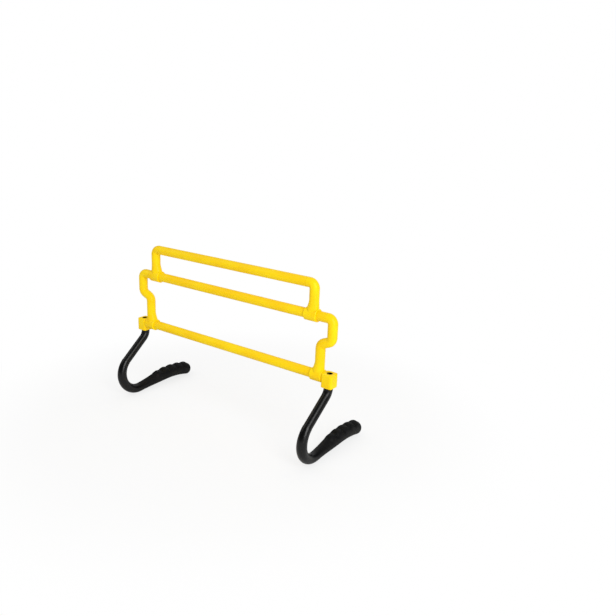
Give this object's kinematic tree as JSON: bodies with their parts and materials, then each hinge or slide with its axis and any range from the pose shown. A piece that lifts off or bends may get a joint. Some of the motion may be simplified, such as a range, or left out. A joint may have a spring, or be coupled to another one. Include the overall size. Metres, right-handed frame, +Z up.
{
  "type": "folding speed hurdle",
  "caption": "Folding speed hurdle: two nested tube frames turn on the crossbars below them to set the height, and curved legs with rubber-gripped feet swivel in end sockets.",
  "frame": {"origin": "on the floor, under the middle of the hurdle's length and depth", "axes": "+X along the crossbars, +Y towards the tips of the feet, +Z up; the hoops of the legs are at the -Y side"},
  "size_m": [0.4656, 0.1846, 0.302],
  "materials": {
    "yellow_plastic": "satin moulded and drawn plastic in bright yellow",
    "black_tube": "satin black plastic tube",
    "black_rubber": "matt rubber with a fine texture",
    "black_plastic": "matt moulded plastic"
  },
  "bodies": {
    "base": {"lower_crossbar": "yellow_plastic", "left_leg_socket": "yellow_plastic", "right_leg_socket": "yellow_plastic"},
    "middle_frame": {"middle_crossbar": "yellow_plastic", "left_middle_post": "yellow_plastic", "right_middle_post": "yellow_plastic", "left_lower_friction_ring": "black_rubber", "right_lower_friction_ring": "black_rubber"},
    "upper_frame": {"upper_crossbar": "yellow_plastic", "left_upper_post": "yellow_plastic", "right_upper_post": "yellow_plastic", "left_middle_friction_ring": "black_rubber", "right_middle_friction_ring": "black_rubber"},
    "left_leg": {"left_leg_tube": "black_tube", "left_foot_grip": "black_rubber", "left_foot_plug": "black_plastic"},
    "right_leg": {"right_leg_tube": "black_tube", "right_foot_grip": "black_rubber", "right_foot_plug": "black_plastic"}
  },
  "joints": [
    {"name": "middle_fold", "type": "hinge", "parent": "base", "child": "middle_frame", "pos_m": [0, -0.01901, 0.1417], "axis": [-1, 0, 0], "range_deg": [-125, 170]},
    {"name": "upper_fold", "type": "hinge", "parent": "middle_frame", "child": "upper_frame", "pos_m": [0, -0.01901, 0.2417], "axis": [-1, 0, 0], "range_deg": [-180, 180]},
    {"name": "left_leg_swivel", "type": "hinge", "parent": "base", "child": "left_leg", "pos_m": [-0.2223, -0.01901, 0.1417], "axis": [0.0384, 0, -0.9993], "range_deg": [0, 90]},
    {"name": "right_leg_swivel", "type": "hinge", "parent": "base", "child": "right_leg", "pos_m": [0.2223, -0.01901, 0.1417], "axis": [0.0384, 0, 0.9993], "range_deg": [0, 90]}
  ]
}
